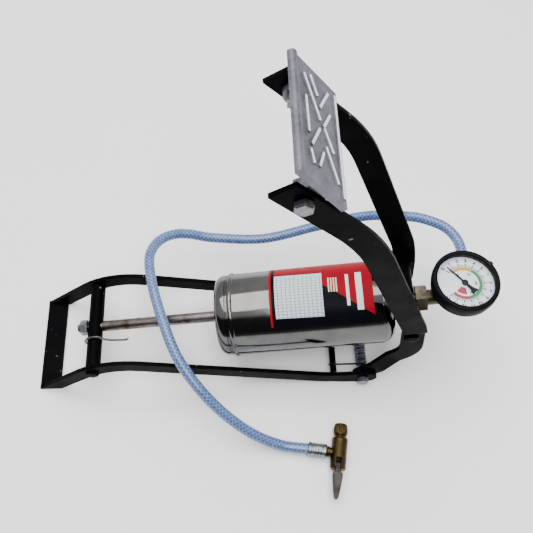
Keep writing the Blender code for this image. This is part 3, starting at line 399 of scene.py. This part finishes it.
def make_finishes():
    """Every finish by name."""
    return {
        "paint": black_paint("enamel_black"),
        "paint_pin": black_paint("enamel_black_round", (0.26, 0.40), 0.0),
        "zinc": metal("zinc_plate", (0.12, 0.13, 0.142), (0.28, 0.295, 0.31), (0.24, 0.42),
                      stain=(0.09, 0.09, 0.09)),
        "zinc_dull": metal("zinc_grey_green", (0.10, 0.12, 0.12), (0.30, 0.34, 0.33), (0.26, 0.44),
                           160.0),
        "rod": metal("rod_steel_worn", (0.13, 0.115, 0.105), (0.27, 0.25, 0.23), (0.26, 0.44), 120.0,
                     stain=(0.10, 0.07, 0.05), stretch=(1, 4, 4)),
        "chrome": chrome_plate("chrome_barrel"),
        "cast": cast_metal("cast_aluminium_skin", (0.085, 0.085, 0.10), (0.25, 0.25, 0.285),
                           (0.42, 0.60), 0.85),
        # Bright finish for the tread bar crowns: partly foot polish, partly a painted highlight
        "cast_polish_highlight": cast_metal("cast_aluminium_rubbed_highlit", (0.66, 0.70, 0.72), (0.86, 0.90, 0.91),
                                  (0.30, 0.42), 0.12, 0.45),
        "brass_fitting": metal("brass_fitting_dull", (0.034, 0.029, 0.019), (0.090, 0.076, 0.050),
                               (0.30, 0.46), 130.0, stain=(0.032, 0.027, 0.019)),
        "brass_chuck": metal("brass_chuck_aged", (0.020, 0.013, 0.005), (0.075, 0.050, 0.018),
                             (0.24, 0.40), 170.0, stain=(0.045, 0.029, 0.012)),
        "steel_lever": metal("thumb_lever_steel", (0.010, 0.009, 0.008), (0.040, 0.035, 0.032),
                             (0.26, 0.42), 150.0),
        "spring": metal("spring_wire", (0.055, 0.06, 0.075), (0.17, 0.18, 0.21), (0.24, 0.38), 180.0,
                        edge=0.0),
        "rubber": moulded("black_rubber", (0.010, 0.010, 0.011), (0.022, 0.022, 0.024), (0.60, 0.80)),
        "gauge_case": moulded("gauge_plastic", (0.0016, 0.0018, 0.0022), (0.0040, 0.0043, 0.0050),
                              (0.36, 0.50), 700.0, 0.30, 0.0006, Specular_IOR_Level=0.06),
        "dial": moulded("dial_enamel", (0.60, 0.66, 0.72), (0.68, 0.74, 0.80), (0.45, 0.55), 1200.0,
                        0.03),
        "ink_black": print_ink("dial_ink_black", (0.0015, 0.0018, 0.0024)),
        "ink_yellow": print_ink("dial_ink_yellow", (0.50, 0.25, 0.006)),
        "ink_green": print_ink("dial_ink_green", (0.010, 0.17, 0.042)),
        "ink_red": print_ink("dial_ink_red", (0.28, 0.004, 0.024)),
        "lens": clear_lens("gauge_window"),
        "hose": braided_pvc("hose_braided_pvc"),
        "label": label_print("barrel_label"),
        "floor": floor_finish("studio_floor"),
    }


NODE_FINISH = {
    "paint": ["base_frame", "lever_arm_near", "lever_arm_far"],
    "paint_pin": ["base_cross_bar", "front_pivot_rivet_near", "front_pivot_rivet_far", "rear_cross_tube",
                  "rear_pivot_rivet_near", "rear_pivot_rivet_far", "front_cross_tube"],
    "zinc": ["hinge_bolt", "hinge_nut", "pedal_bolt_near", "pedal_bolt_far", "pedal_nut_near",
             "pedal_nut_far", "rod_nut", "piston_plate", "seal_washer", "piston_nut", "chuck_pin",
             "stow_hook"],
    "rod": ["piston_rod"],
    "chrome": ["barrel_tube", "barrel_cap", "cylinder_head"],
    "cast": ["pedal"],
    "brass_fitting": ["outlet_nut", "brass_tee", "hose_union", "outlet_pipe", "gauge_stem",
                      "bourdon_tube", "gauge_movement", "valve_seat"],
    "brass_chuck": ["chuck_body"],
    "steel_lever": ["chuck_lever"],
    "spring": ["torsion_spring", "valve_spring"],
    "rubber": ["rod_bush", "cup_seal", "valve_disc", "chuck_seal"],
    "gauge_case": ["gauge_case", "gauge_bezel"],
    "dial": ["gauge_dial"],
    "lens": ["gauge_lens"],
}


def dress_nodes():
    """Give every CAD node its finish."""
    for finish, names in NODE_FINISH.items():
        for name in names:
            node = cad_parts[name]
            for material_slot in node.material_slots:
                material_slot.material = FINISH[finish]


# ------------------------------------------------------------------------------------------
# geometry helpers
# ------------------------------------------------------------------------------------------
def side_of(axis):
    """Two directions at right angles to an axis."""
    first = (ACROSS if abs(axis.y) < 0.9 else Vector((1, 0, 0))).cross(axis).normalized()
    return first, axis.cross(first).normalized()


def piece(name, bm, finish, body, smooth=None):
    """Turn a bmesh into a named piece that rides on a body."""
    bmesh.ops.recalc_face_normals(bm, faces=bm.faces)
    return open_piece(name, bm, finish, body, smooth)


def open_piece(name, bm, finish, body, smooth=None):
    """The same for a sheet whose faces already look the right way."""
    mesh = bpy.data.meshes.new(name)
    bm.to_mesh(mesh)
    bm.free()
    obj = bpy.data.objects.new(name, mesh)
    bpy.context.scene.collection.objects.link(obj)
    mesh.materials.append(FINISH[finish])
    if smooth is not None:
        mesh.shade_smooth()
        if smooth < 180:
            mesh.set_sharp_from_angle(angle=math.radians(smooth))
    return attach(obj, body)


def turned(profile, origin, axis, steps=48, bm=None):
    """Revolve an open or closed chain of (radius, distance) in millimetres about an axis."""
    bm = bm or bmesh.new()
    first, second = side_of(axis)
    rings = []
    for radius, distance in profile:
        centre = origin + axis * distance * MM
        if radius == 0:
            rings.append([bm.verts.new(centre)])
            continue
        angles = [2 * math.pi * i / steps for i in range(steps)]
        rings.append([bm.verts.new(centre + (first * math.cos(a) + second * math.sin(a)) * radius * MM)
                      for a in angles])
    for here, there in zip(rings, rings[1:]):
        for i in range(steps):
            j = (i + 1) % steps
            corners = [here[i % len(here)], here[j % len(here)],
                       there[j % len(there)], there[i % len(there)]]
            bm.faces.new(list(dict.fromkeys(corners)))
    return bm


def plate(outline, origin, first, second, low, high):
    """Extrude a flat outline in millimetres between two heights along its normal."""
    bm = bmesh.new()
    normal = first.cross(second)
    layers = []
    for level in (low, high):
        layers.append([bm.verts.new(origin + (first * u + second * v + normal * level) * MM)
                       for u, v in outline])
    bm.faces.new(layers[0])
    bm.faces.new(layers[1])
    count = len(outline)
    for i in range(count):
        j = (i + 1) % count
        bm.faces.new([layers[0][i], layers[0][j], layers[1][j], layers[1][i]])
    return bm


def smooth_curve(points, per_span):
    """Catmull-Rom points through a route."""
    route = [Vector(p) for p in points]
    route = [route[0] * 2 - route[1]] + route + [route[-1] * 2 - route[-2]]
    out = []
    for a, b, c, d in zip(route, route[1:], route[2:], route[3:]):
        for k in range(per_span):
            t = k / per_span
            out.append(0.5 * (2 * b + (c - a) * t + (2 * a - 5 * b + 4 * c - d) * t ** 2
                              + (3 * b - a - 3 * c + d) * t ** 3))
    out.append(route[-2])
    return out


# ------------------------------------------------------------------------------------------
# hose and chuck
# ------------------------------------------------------------------------------------------
def hose_tube(path, radius):
    """A round tube along a path, with U by turns and V in metres along it."""
    steps = 24
    bm = bmesh.new()
    uv = bm.loops.layers.uv.new("along")
    first = side_of((path[1] - path[0]).normalized())[0]
    rings, run = [], 0.0
    for i, point in enumerate(path):
        ahead = (path[min(i + 1, len(path) - 1)] - path[max(i - 1, 0)]).normalized()
        first = (first - ahead * first.dot(ahead)).normalized()
        second = ahead.cross(first)
        if i:
            run += (point - path[i - 1]).length
        angles = [2 * math.pi * k / steps for k in range(steps)]
        ring = [bm.verts.new(point + (first * math.cos(a) + second * math.sin(a)) * radius)
                for a in angles]
        rings.append((ring, run))
    for (here, v0), (there, v1) in zip(rings, rings[1:]):
        for i in range(steps):
            j = (i + 1) % steps
            face = bm.faces.new([here[i], here[j], there[j], there[i]])
            corners = ((i, v0), (i + 1, v0), (i + 1, v1), (i, v1))
            for loop, (turn, v) in zip(face.loops, corners):
                loop[uv].uv = (turn / steps, v)
    for ring, _ in (rings[0], rings[-1]):
        bm.faces.new(ring)
    return bm


def build_hose():
    """Braided hose with its crimped ferrule and collar."""
    path = smooth_curve(HOSE_ROUTE, 8)
    hose = piece("hose_braided", hose_tube(path, HOSE_D / 2), "hose", "barrel", 60)
    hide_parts("hose")
    profile = [(0, 0.2), (4.6, 0.2), (5.2, 0.5), (5.3, 1.2)]
    for k in range(4):
        at = 2.6 + 2.4 * k
        profile += [(5.3, at), (4.95, at + 0.5), (4.95, at + 1.1), (5.3, at + 1.6)]
    profile += [(5.3, 13.2), (4.6, 14.1), (0, 14.1)]
    ferrule = piece("ferrule_crimped", turned(profile, HOSE_END, CHUCK_ACROSS), "zinc_dull", "barrel",
                    30)
    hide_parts("hose_ferrule")
    profile = [(0, 17.35), (5.0, 17.35), (5.3, 17.8)]
    for k in range(3):
        at = 19.4 + 2.6 * k
        profile += [(5.35, at), (4.95, at + 0.5), (4.95, at + 1.2), (5.35, at + 1.7)]
    profile += [(5.2, 27.4), (4.8, 28.0), (0, 28.0)]
    collar = piece("collar_crimped", turned(profile, HUB, PORT), "zinc_dull", "barrel", 30)
    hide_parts("hose_collar")
    riders = [ferrule] + build_chuck_details()
    riders += [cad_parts[n] for n in ("chuck_body", "chuck_pin", "chuck_seal", "chuck_lever")]


def build_chuck_details():
    """Knurled sleeve, nozzle rings and stem collar on the brass chuck."""
    bm = bmesh.new()
    steps = 48
    valley, crest = 4.93, 5.2
    first, second = side_of(CHUCK_ALONG)
    rings = []
    for at, toothed in ((8.3, False), (9.4, True), (11.3, True), (13.3, True), (14.4, False)):
        ring = []
        for i in range(steps):
            a = 2 * math.pi * i / steps
            radius = crest if toothed and i % 2 == 0 else valley
            ring.append(bm.verts.new(CHUCK + CHUCK_ALONG * at * MM
                                     + (first * math.cos(a) + second * math.sin(a)) * radius * MM))
        rings.append(ring)
    for here, there in zip(rings, rings[1:]):
        for i in range(steps):
            j = (i + 1) % steps
            bm.faces.new([here[i], here[j], there[j], there[i]])
    sleeve = piece("chuck_knurl", bm, "brass_chuck", "barrel", None)
    profile = [(5.85, 2.3), (6.0, 2.6), (6.0, 4.2), (5.85, 4.5)]
    band = piece("chuck_band", turned(profile, CHUCK, CHUCK_ALONG), "brass_chuck", "barrel", 30)
    profile = [(3.15, -8.7), (4.0, -8.5), (4.0, -7.2), (3.15, -6.9)]
    stem = piece("chuck_stem_ring", turned(profile, STEM, CHUCK_ACROSS, 32), "brass_chuck", "barrel", 30)
    return [sleeve, band, stem]


# ------------------------------------------------------------------------------------------
# turned parts, finer than their solids
# ------------------------------------------------------------------------------------------
def shell(name, node, profile, origin, axis, finish, body):
    """A closed turned piece, round to 128 sides, that stands for a CAD node of the same size."""
    made = piece(name, turned(profile + profile[:1], origin, axis, 128), finish, body, 35)
    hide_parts(node)


def build_turned_parts():
    """Barrel, cap, head, rod and the gauge's case and bezel; profiles in millimetres."""
    tube = [(29.0, 104.8), (30.0, 104.8), (30.5, 105.1), (30.85, 105.9), (30.9, 106.8),
            (30.7, 107.6), (30.0, 108.3), (30.0, 213.4), (29.7, 214.0), (29.0, 214.0)]
    shell("barrel_shell", "barrel_tube", tube, FRONT, AXIS, "chrome", "barrel")
    cap = [(7.8, 94.4), (23.4, 94.4), (25.6, 94.8), (27.2, 95.7), (28.4, 97.0), (29.2, 98.6),
           (29.6, 100.4), (29.6, 102.6), (29.2, 103.0), (29.2, 103.5), (29.6, 103.9), (29.6, 104.5),
           (28.7, 104.5), (28.7, 112.0), (27.2, 112.0), (27.2, 98.9), (24.0, 96.6), (7.8, 96.6)]
    shell("cap_shell", "barrel_cap", cap, FRONT, AXIS, "chrome", "barrel")
    head = [(4.3, 225.4), (8.6, 225.4), (9.0, 225.0), (9.0, 222.0), (21.6, 222.0), (24.0, 221.4),
            (26.4, 219.8), (28.2, 217.6), (29.2, 215.8), (29.4, 214.3), (28.7, 214.3), (28.7, 203.0),
            (8.0, 203.0), (8.0, 212.0), (4.3, 212.0)]
    shell("head_shell", "cylinder_head", head, FRONT, AXIS, "chrome", "barrel")
    rod = [(0, -13.5), (2.4, -13.5)]
    for k in range(9):
        at = -13.0 + 0.8 * k
        rod += [(3.0, at), (2.65, at + 0.4)]
    rod += [(3.0, -5.6), (3.0, 5.8), (3.8, 5.8), (4.0, 6.1), (4.0, 118.0), (3.0, 118.0),
            (3.0, 135.0), (0, 135.0)]
    made = piece("rod_shaft", turned(rod, FRONT, AXIS, 48), "rod", "rod", 35)
    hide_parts("piston_rod")
    centre = Vector((DIAL.x, DIAL.y, 0))
    case = [(3.6, 82.8), (20.0, 82.8), (21.4, 83.2), (22.3, 84.0), (22.8, 85.2), (22.9, 86.4),
            (22.9, 94.6), (21.4, 94.6), (21.4, 84.8), (3.6, 84.8)]
    shell("case_shell", "gauge_case", case, centre, UP, "gauge_case", "barrel")
    bezel = [(23.9, 91.4), (23.9, 95.9), (23.6, 96.8), (22.9, 97.4), (22.1, 97.5), (21.2, 97.45),
             (20.5, 97.1), (20.3, 96.75), (22.4, 96.75), (22.4, 94.6), (23.2, 94.6), (23.2, 91.4)]
    shell("bezel_ring", "gauge_bezel", bezel, centre, UP, "gauge_case", "barrel")


# ------------------------------------------------------------------------------------------
# barrel label
# ------------------------------------------------------------------------------------------
def build_label():
    """Printed sheet wrapped over the upper side of the barrel, lifted a little at its seam."""
    bm = bmesh.new()
    uv = bm.loops.layers.uv.new("sheet")
    along, around = 14, 44
    grid = []
    for i in range(along + 1):
        u = i / along
        row = []
        for k in range(around + 1):
            v = k / around
            angle = LABEL_LOW + LABEL_SKEW * u + (LABEL_HIGH - LABEL_LOW) * v
            direction = OUT * math.cos(angle) - ACROSS * math.sin(angle)
            curl = LABEL_CURL * (max(0.0, CURL_SHARE - v) / CURL_SHARE) ** 2
            at = LABEL_START + (LABEL_END - LABEL_START) * u
            point = FRONT + AXIS * at + direction * (BARREL_R + LABEL_LIFT + curl)
            row.append(bm.verts.new(point))
        grid.append(row)
    for i in range(along):
        for k in range(around):
            face = bm.faces.new([grid[i][k], grid[i + 1][k], grid[i + 1][k + 1], grid[i][k + 1]])
            for loop, (a, b) in zip(face.loops, ((i, k), (i + 1, k), (i + 1, k + 1), (i, k + 1))):
                loop[uv].uv = (a / along, b / around)
    open_piece("barrel_label", bm, "label", "barrel", 180)


# ------------------------------------------------------------------------------------------
# gauge
# ------------------------------------------------------------------------------------------
def dial_directions(angle):
    """Directions out along a radius of the dial and round it."""
    return Vector((math.cos(angle), math.sin(angle), 0)), Vector((-math.sin(angle), math.cos(angle), 0))


def dial_arc(name, inner, outer, start, end, finish, lift=0.06):
    """A flat band of the dial between two angles in degrees; radii and lift in millimetres."""
    bm = bmesh.new()
    steps = max(3, int(abs(end - start) / 4))
    previous = None
    for i in range(steps + 1):
        run = dial_directions(math.radians(start + (end - start) * i / steps))[0]
        pair = [bm.verts.new(DIAL + run * r * MM + UP * lift * MM) for r in (inner, outer)]
        if previous:
            bm.faces.new([previous[0], previous[1], pair[1], pair[0]])
        previous = pair
    bmesh.ops.recalc_face_normals(bm, faces=bm.faces)
    if next(iter(bm.faces)).normal.z < 0:
        bmesh.ops.reverse_faces(bm, faces=bm.faces)
    open_piece(name, bm, finish, "barrel", None)


def build_dial_print():
    """Coloured bands, scale marks and numbers."""
    for ink, span in BANDS.items():
        dial_arc("dial_band_" + ink, *BAND, *span, "ink_" + ink)
    dial_arc("dial_wedge_red", 3.6, 8.8, -138, -88, "ink_red")
    dial_arc("dial_ring_outer", 13.0, 13.25, SCALE_START, SCALE_START - SCALE_SWEEP, "ink_black", 0.05)
    bm = bmesh.new()
    for i in range(SCALE_MARKS + 1):
        run, side = dial_directions(math.radians(SCALE_START - SCALE_SWEEP * i / SCALE_MARKS))
        reach, half = LONG_MARK if i % MARKS_PER_NUMBER == 0 else SHORT_MARK
        corners = [(MARK_FOOT, -half), (reach, -half), (reach, half), (MARK_FOOT, half)]
        bm.faces.new([bm.verts.new(DIAL + (run * u + side * v + UP * 0.05) * MM) for u, v in corners])
    for face in bm.faces:
        face.normal_update()
        if face.normal.z < 0:
            face.normal_flip()
    open_piece("dial_marks", bm, "ink_black", "barrel", None)
    last = SCALE_MARKS // MARKS_PER_NUMBER
    numbers = [(str(k), math.radians(SCALE_START - SCALE_SWEEP * k / last), *OUTER_NUMBERS)
               for k in range(last + 1)]
    numbers += [(str(k * 50), math.radians(120 - 60 * k), *INNER_NUMBERS) for k in range(4)]
    join_text("dial_numbers", numbers)


def join_text(name, items):
    """Numbers as one flat mesh, each turned to stand on its circle."""
    bm = bmesh.new()
    for text, angle, radius, size in items:
        curve = bpy.data.curves.new("number", "FONT")
        curve.body = text
        curve.size = size * MM
        curve.offset = NUMBER_WEIGHT * size * MM
        curve.align_x = "CENTER"
        curve.align_y = "CENTER"
        obj = bpy.data.objects.new("number", curve)
        bpy.context.scene.collection.objects.link(obj)
        bpy.context.view_layer.update()
        mesh = bpy.data.meshes.new_from_object(obj.evaluated_get(bpy.context.evaluated_depsgraph_get()))
        place = DIAL + dial_directions(angle)[0] * radius * MM + UP * 0.07 * MM
        mesh.transform(Matrix.Translation(place) @ Matrix.Rotation(angle - math.pi / 2, 4, "Z"))
        bm.from_mesh(mesh)
        bpy.data.meshes.remove(mesh)
        bpy.data.objects.remove(obj)
        bpy.data.curves.remove(curve)
    open_piece(name, bm, "ink_black", "barrel", None)


def build_needle():
    """Pointer with a fan tail and a domed hub, over the dial."""
    run, side = dial_directions(NEEDLE_ANGLE)
    blade = [(-10.2, -2.7), (-9.6, 0.0), (-10.2, 2.7), (-8.4, 2.4), (-6.2, 1.4), (-2.4, 0.95),
             (3.0, 0.7), (16.6, 0.30), (16.6, -0.30), (3.0, -0.7), (-2.4, -0.95), (-6.2, -1.4),
             (-8.4, -2.4)]
    bm = plate(blade, DIAL, run, side, 0.8, 1.15)
    hub = [(0, 0.3), (1.9, 0.3), (2.2, 0.6), (2.2, 1.5), (1.7, 2.0), (0.9, 2.25), (0, 2.3)]
    turned(hub, DIAL, UP, 32, bm)
    needle = piece("needle_fan_tail", bm, "gauge_case", "needle", 30)
    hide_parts("gauge_needle")


def build_gauge_trim():
    """Bright tab on the rim of the bezel."""
    run, side = dial_directions(TAB_ANGLE)
    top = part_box("gauge_bezel")[1].z
    at = Vector((DIAL.x, DIAL.y, top)) + run * 22.6 * MM
    outline = [(-1.6, -1.5), (0.9, -1.5), (1.5, -0.8), (1.5, 0.8), (0.9, 1.5), (-1.6, 1.5)]
    bm = plate(outline, at, run, side, -0.6, 0.35)
    turned([(0, 0.3), (0.7, 0.35), (0.75, 0.8), (0.4, 1.0), (0, 1.0)], at, UP, 16, bm)
    piece("bezel_tab", bm, "steel_lever", "barrel", 40)


# ------------------------------------------------------------------------------------------
# pedal
# ------------------------------------------------------------------------------------------
def rib_cap(bm, s0, s1, y0, y1):
    """A rounded cap on one raised bar of the tread, coloured bright as foot polish with a painted
    highlight; places in millimetres.
    """
    run = Vector((math.cos(PEDAL_TILT), 0, -math.sin(PEDAL_TILT)))
    out = Vector((math.sin(PEDAL_TILT), 0, math.cos(PEDAL_TILT)))
    base = PEDAL_BOLT + out * (TREAD_TOP + RIB_RISE - CAP_SINK)
    a, b = base + (run * s0 + ACROSS * y0) * MM, base + (run * s1 + ACROSS * y1) * MM
    ahead = (b - a).normalized()
    side = ahead.cross(out).normalized()
    section = [(-1.0, 0.0), (-0.75, 0.22), (0.0, 0.32), (0.75, 0.22), (1.0, 0.0)]
    rings = [[bm.verts.new(p + (side * u + out * w) * MM) for u, w in section] for p in (a, b)]
    count = len(section)
    for i in range(count):
        j = (i + 1) % count
        bm.faces.new([rings[0][i], rings[0][j], rings[1][j], rings[1][i]])
    for ring in rings:
        bm.faces.new(ring)


def build_pedal_caps():
    """Crowns of the tread bars, painted bright: partly foot polish, partly a painted highlight where the
    light catches them.
    """
    bm = bmesh.new()
    for bar in TREAD_BARS:
        rib_cap(bm, *bar)
    piece("tread_rib_crowns", bm, "cast_polish_highlight", "lever", 40)


# ------------------------------------------------------------------------------------------
# stage
# ------------------------------------------------------------------------------------------
def build_camera():
    """Camera above the near side, looking down and a little to the right."""
    data = bpy.data.cameras.new("camera")
    data.sensor_width = 36.0
    data.lens = CAMERA_LENS
    data.clip_start = 0.01
    camera = bpy.data.objects.new("camera", data)
    bpy.context.scene.collection.objects.link(camera)
    matrix = Matrix((CAMERA_RIGHT, CAMERA_UP, -CAMERA_AHEAD)).transposed().to_4x4()
    matrix.translation = CAMERA_AT
    camera.matrix_world = matrix
    bpy.context.scene.camera = camera


def area_light(name, at, size, power):
    """A soft square lamp aimed at the pump."""
    data = bpy.data.lights.new(name, "AREA")
    data.size = size
    data.energy = power
    lamp = bpy.data.objects.new(name, data)
    lamp.location = at
    lamp.rotation_euler = (Vector(at) - Vector(LAMP_TARGET)).to_track_quat("Z", "Y").to_euler()
    bpy.context.scene.collection.objects.link(lamp)


def build_floor():
    """Plain pale floor."""
    bm = bmesh.new()
    bmesh.ops.create_grid(bm, x_segments=1, y_segments=1, size=FLOOR_HALF)
    mesh = bpy.data.meshes.new("studio_floor")
    bm.to_mesh(mesh)
    bm.free()
    floor = bpy.data.objects.new("studio_floor", mesh)
    floor.location = (LAMP_TARGET[0], 0.0, 0.0)
    mesh.materials.append(FINISH["floor"])
    bpy.context.scene.collection.objects.link(floor)


def build_room():
    """A pale room with one dark wall low on the near side, so that the chrome has a dark band."""
    world = bpy.data.worlds.new("studio")
    bpy.context.scene.world = world
    world.use_nodes = True
    tree = world.node_tree

    def maths(operation, *constants):
        """A maths node with constants on its inputs after the first."""
        node = tree.nodes.new("ShaderNodeMath")
        node.operation = operation
        for socket, value in zip(node.inputs[1:], constants):
            socket.default_value = value
        return node

    coords = tree.nodes.new("ShaderNodeTexCoord")
    split = tree.nodes.new("ShaderNodeSeparateXYZ")
    flip = maths("MULTIPLY", -1.0)
    climb = maths("ARCTAN2")
    share = maths("MULTIPLY_ADD", 0.5 / math.pi, 0.5)
    ramp = tree.nodes.new("ShaderNodeValToRGB")
    elements = ramp.color_ramp.elements
    while len(elements) < len(ROOM_GREYS):
        elements.new(0.5)
    for element, (degrees, grey) in zip(elements, ROOM_GREYS):
        element.position = degrees / 360.0 + 0.5
        element.color = (grey, grey, grey * 1.02, 1.0)
    background = tree.nodes["Background"]
    background.inputs["Strength"].default_value = ROOM_STRENGTH
    for source, target in (
            (coords.outputs["Generated"], split.inputs[0]), (split.outputs["Y"], flip.inputs[0]),
            (split.outputs["Z"], climb.inputs[0]), (flip.outputs[0], climb.inputs[1]),
            (climb.outputs[0], share.inputs[0]), (share.outputs[0], ramp.inputs["Fac"]),
            (ramp.outputs["Color"], background.inputs["Color"])):
        tree.links.new(source, target)


def build_stage():
    """Floor, room and two soft lamps."""
    build_floor()
    build_room()
    area_light("key_overhead", (0.05, 0.30, 1.6), 1.4, 34.0)
    area_light("fill_near", (0.30, -0.62, 1.5), 0.6, 13.0)


FINISH = make_finishes()
dress_nodes()
build_camera()
build_stage()
build_hose()
build_turned_parts()
build_label()
build_dial_print()
build_needle()
build_gauge_trim()
build_pedal_caps()
